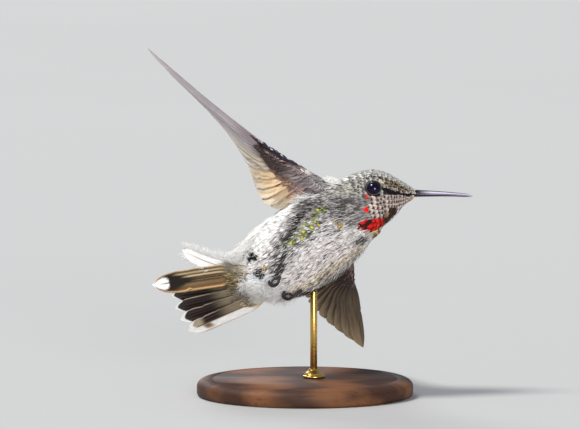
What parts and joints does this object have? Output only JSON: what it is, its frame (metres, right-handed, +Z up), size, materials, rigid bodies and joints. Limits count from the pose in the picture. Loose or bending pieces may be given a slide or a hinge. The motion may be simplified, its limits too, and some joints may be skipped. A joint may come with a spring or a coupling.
{
  "type": "anna's hummingbird",
  "caption": "Life-size still model of a young hummingbird in banked flight, wings and tail spread, held up by a rod on a round flat display base.",
  "frame": {"origin": "centre of the display base's underside", "axes": "+Z up, +X the way the bill points, -Y the side that the belly and the right side of the head face"},
  "size_m": [0.0931, 0.0913, 0.0997],
  "materials": {
    "body_plumage": "soft pale grey body feathers with darker centres, metallic green discs on the flank and red ones on the throat",
    "wing_feathers": "dark grey-brown flight feathers, pale and thin towards the body",
    "tail_feathers": "brown and blackish tail feathers with white tips and white outer edges",
    "bill_horn": "black horn with a satin shine",
    "leg_skin": "black scaly skin and claws",
    "eye_glass": "wet, near black",
    "stand_wood": "dark walnut, satin varnish",
    "stand_brass": "satin brass"
  },
  "bodies": {
    "root": {"torso": "body_plumage", "neck": "body_plumage", "head": "body_plumage", "eye_right": "eye_glass", "eye_left": "eye_glass", "bill_upper": "bill_horn", "bill_lower": "bill_horn", "wing_right": "wing_feathers", "wing_left": "wing_feathers", "tail": "tail_feathers", "leg_right": "leg_skin", "leg_left": "leg_skin", "stand_base": "stand_wood", "stand_collar": "stand_brass", "stand_rod": "stand_brass"}
  },
  "joints": []
}
